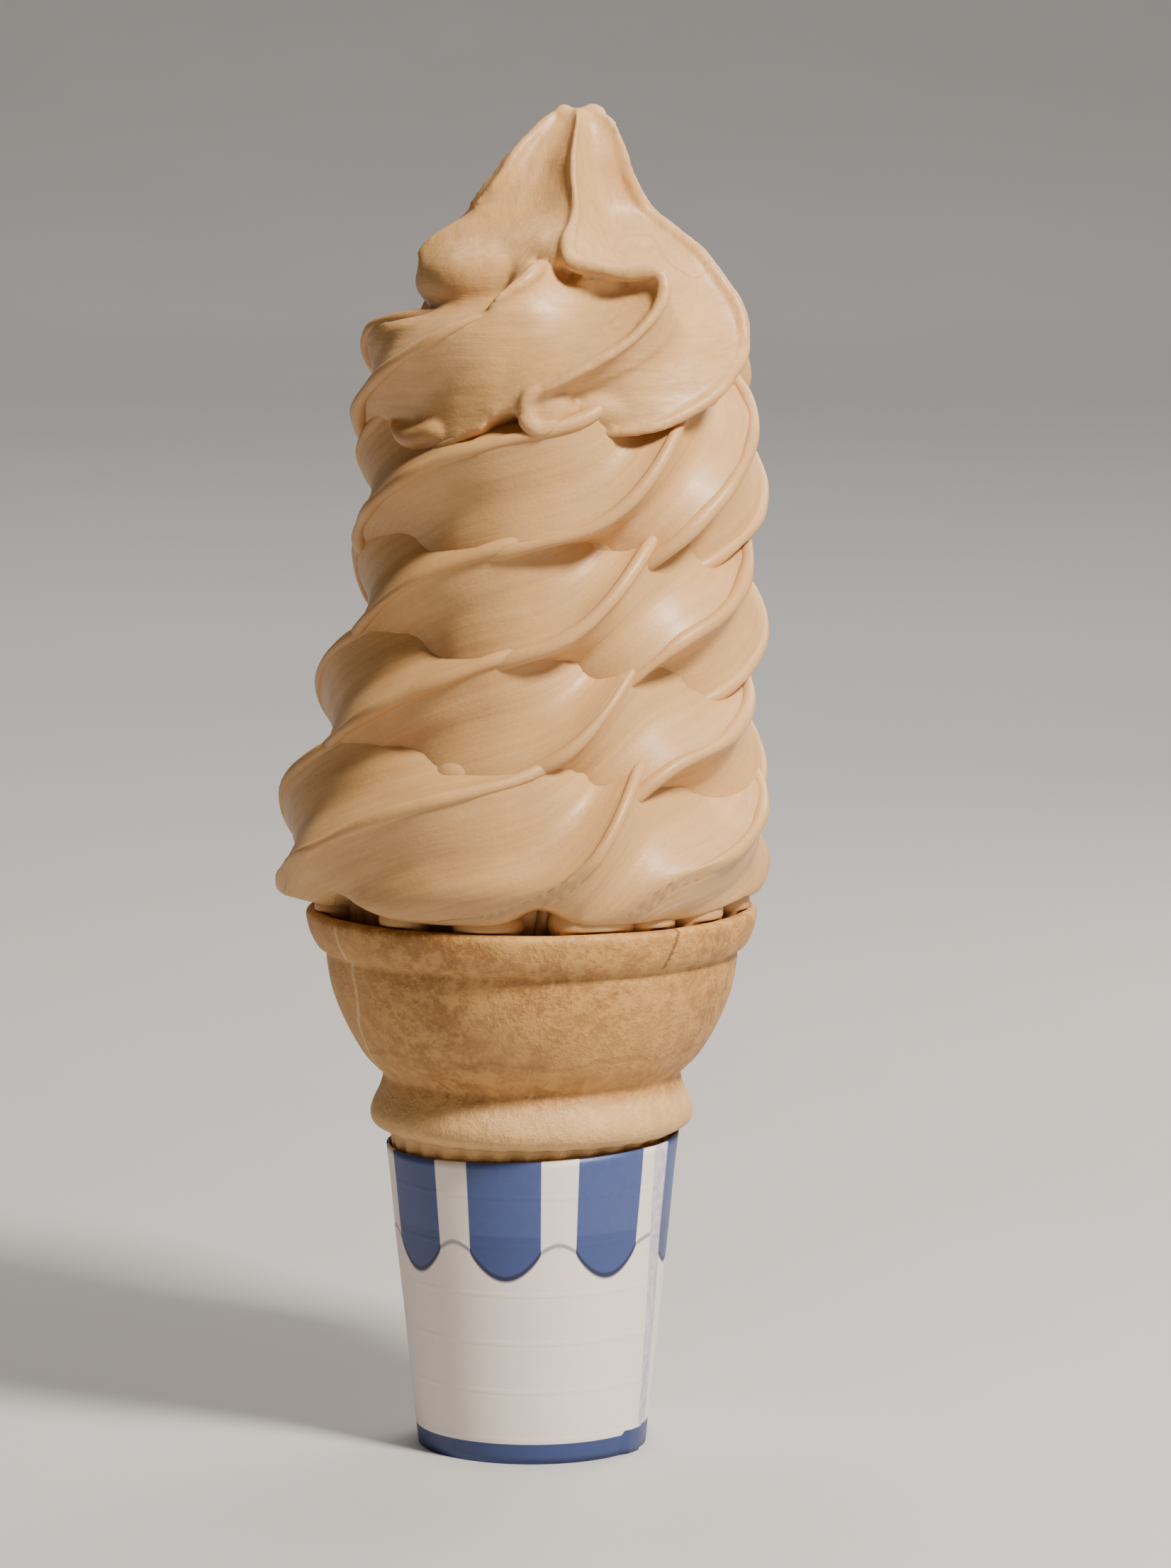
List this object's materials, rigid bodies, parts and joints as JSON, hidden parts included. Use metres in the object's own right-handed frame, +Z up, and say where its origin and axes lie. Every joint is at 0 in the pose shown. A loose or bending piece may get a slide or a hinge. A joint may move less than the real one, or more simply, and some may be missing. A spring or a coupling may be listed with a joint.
{
  "type": "soft serve cone",
  "caption": "A tall swirl of vanilla soft serve in a flat-bottomed wafer cup cone with a scalloped striped paper jacket, standing upright.",
  "frame": {"origin": "centre of the flat foot of the wafer cup, on the plane it stands on", "axes": "+Z up through the cone; -Y is the front, the side the picture shows; +X is to the right as seen from the front"},
  "size_m": [0.0706, 0.0713, 0.189],
  "materials": {
    "soft_serve": "creamy, soft gloss",
    "wafer_cone": "baked, matte",
    "paper_jacket": "smooth printed paper"
  },
  "bodies": {
    "root": {"soft_serve": "soft_serve", "wafer_cone": "wafer_cone", "paper_jacket": "paper_jacket"}
  },
  "joints": []
}
